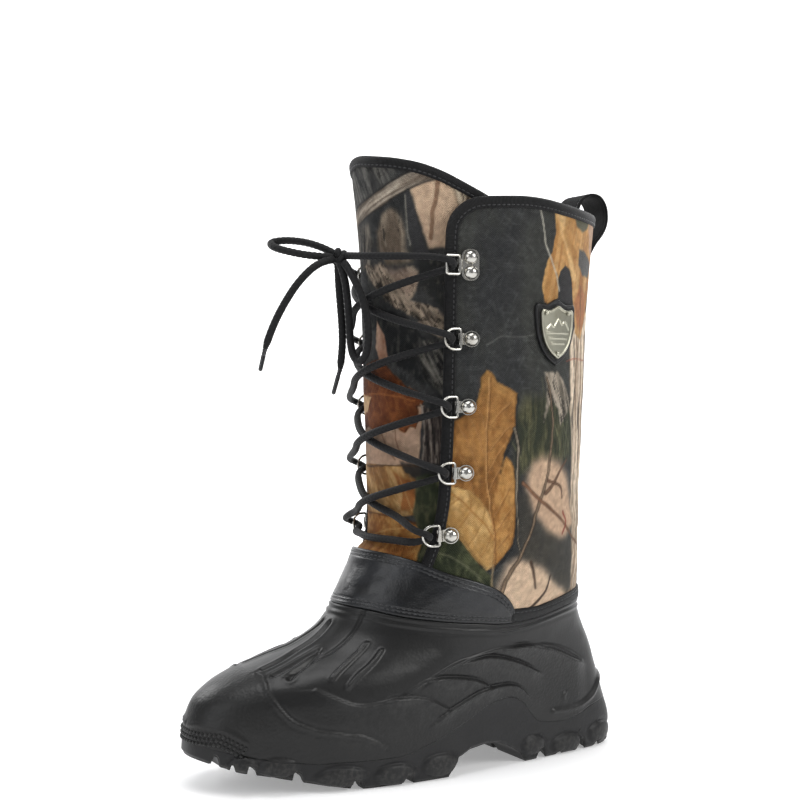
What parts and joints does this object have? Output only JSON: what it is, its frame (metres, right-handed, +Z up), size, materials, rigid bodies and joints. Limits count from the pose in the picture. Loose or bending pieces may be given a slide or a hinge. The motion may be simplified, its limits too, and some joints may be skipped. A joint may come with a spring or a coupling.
{
  "type": "insulated hunting boot",
  "caption": "Tall lace-up insulated boot: moulded rubber lower, lugged sole, camouflage fabric shaft, padded tongue, ring lacing, pull loop and a blank shield badge.",
  "frame": {"origin": "centre of the boot's bounding box in plan, on the ground", "axes": "+Z up the shaft, toe towards -Y, lateral side towards +X (left boot)"},
  "size_m": [0.1327, 0.2944, 0.3781],
  "materials": {
    "sole_rubber": "matte moulded rubber with lugs",
    "shell_eva": "satin moulded rubber-coated EVA",
    "black_leather": "grained black leather, blue-grey highlights",
    "camo_fabric": "woven polyester printed with a leaf and bark pattern",
    "wadding": "needled insulation",
    "fleece": "dark short-pile fleece",
    "insole_felt": "felted insole",
    "black_binding": "black woven binding",
    "badge_rubber": "moulded soft patch",
    "badge_metal": "antique brushed metal",
    "nickel_steel": "nickel plated steel",
    "lace_cord": "braided black lace",
    "lace_tip_plastic": "clear-black lace tip"
  },
  "bodies": {
    "boot": {"outsole": "sole_rubber", "lower_shell": "shell_eva", "foot_lining": "fleece", "vamp_overlay": "black_leather", "vamp_backing": "wadding", "hem_band": "black_leather", "quarter_left": "camo_fabric", "quarter_right": "camo_fabric", "insulation": "wadding", "fleece_lining": "fleece", "binding_left": "black_binding", "binding_right": "black_binding", "pull_loop": "black_binding", "badge_backing": "badge_rubber", "badge_plate": "badge_metal", "badge_pins": "badge_metal", "ring_clips": "nickel_steel", "ring_rivets": "nickel_steel", "top_clips": "nickel_steel", "top_rivets": "nickel_steel", "lace_knot": "lace_cord", "lace": "lace_cord", "lace_loop_left": "lace_cord", "lace_loop_right": "lace_cord", "lace_end_left": "lace_cord", "lace_end_right": "lace_cord", "lace_tip_left": "lace_tip_plastic", "lace_tip_right": "lace_tip_plastic"},
    "tongue": {"tongue_panel": "camo_fabric", "tongue_lining": "fleece", "tongue_binding": "black_binding"},
    "insole": {"insole": "insole_felt"},
    "d_ring_left_1": {"d_ring_left_1": "nickel_steel"},
    "d_ring_left_2": {"d_ring_left_2": "nickel_steel"},
    "d_ring_left_3": {"d_ring_left_3": "nickel_steel"},
    "d_ring_left_4": {"d_ring_left_4": "nickel_steel"},
    "top_ring_left": {"top_ring_left": "nickel_steel"},
    "d_ring_right_1": {"d_ring_right_1": "nickel_steel"},
    "d_ring_right_2": {"d_ring_right_2": "nickel_steel"},
    "d_ring_right_3": {"d_ring_right_3": "nickel_steel"},
    "d_ring_right_4": {"d_ring_right_4": "nickel_steel"},
    "top_ring_right": {"top_ring_right": "nickel_steel"}
  },
  "joints": [
    {"name": "tongue_fold", "type": "hinge", "parent": "boot", "child": "tongue", "pos_m": [-0.00085, -0.02334, 0.137], "axis": [-1, 0, 0], "range_deg": [0, 8], "stiffness_Nm_per_rad": 0.6},
    {"name": "insole_lift", "type": "hinge", "parent": "boot", "child": "insole", "pos_m": [-0.00085, -0.12534, 0.033], "axis": [1, 0, 0], "range_deg": [0, 4]},
    {"name": "d_ring_left_1_swing", "type": "hinge", "parent": "boot", "child": "d_ring_left_1", "pos_m": [0.04792, -0.00417, 0.14694], "axis": [0.0472, -0.0313, 0.9984], "range_deg": [-4, 4]},
    {"name": "d_ring_left_2_swing", "type": "hinge", "parent": "boot", "child": "d_ring_left_2", "pos_m": [0.05394, 0.00292, 0.18466], "axis": [0.0137, -0.007, 0.9999], "range_deg": [-4, 4]},
    {"name": "d_ring_left_3_swing", "type": "hinge", "parent": "boot", "child": "d_ring_left_3", "pos_m": [0.05515, 0.00392, 0.22435], "axis": [0.0147, -0.007, 0.9999], "range_deg": [-4, 4]},
    {"name": "d_ring_left_4_swing", "type": "hinge", "parent": "boot", "child": "d_ring_left_4", "pos_m": [0.05654, 0.00539, 0.26505], "axis": [0.0153, -0.0068, 0.9999], "range_deg": [-4, 4]},
    {"name": "top_ring_left_swing", "type": "hinge", "parent": "boot", "child": "top_ring_left", "pos_m": [0.05702, 0.00433, 0.30933], "axis": [0.0219, -0.0098, 0.9997], "range_deg": [-4, 4]},
    {"name": "d_ring_right_1_swing", "type": "hinge", "parent": "boot", "child": "d_ring_right_1", "pos_m": [-0.04963, -0.00417, 0.14694], "axis": [0.0472, 0.0313, -0.9984], "range_deg": [-4, 4]},
    {"name": "d_ring_right_2_swing", "type": "hinge", "parent": "boot", "child": "d_ring_right_2", "pos_m": [-0.05565, 0.00292, 0.18466], "axis": [0.0137, 0.007, -0.9999], "range_deg": [-4, 4]},
    {"name": "d_ring_right_3_swing", "type": "hinge", "parent": "boot", "child": "d_ring_right_3", "pos_m": [-0.05685, 0.00392, 0.22435], "axis": [0.0147, 0.007, -0.9999], "range_deg": [-4, 4]},
    {"name": "d_ring_right_4_swing", "type": "hinge", "parent": "boot", "child": "d_ring_right_4", "pos_m": [-0.05825, 0.00539, 0.26505], "axis": [0.0153, 0.0068, -0.9999], "range_deg": [-4, 4]},
    {"name": "top_ring_right_swing", "type": "hinge", "parent": "boot", "child": "top_ring_right", "pos_m": [-0.05873, 0.00433, 0.30933], "axis": [0.0219, 0.0098, -0.9997], "range_deg": [-4, 4]}
  ]
}
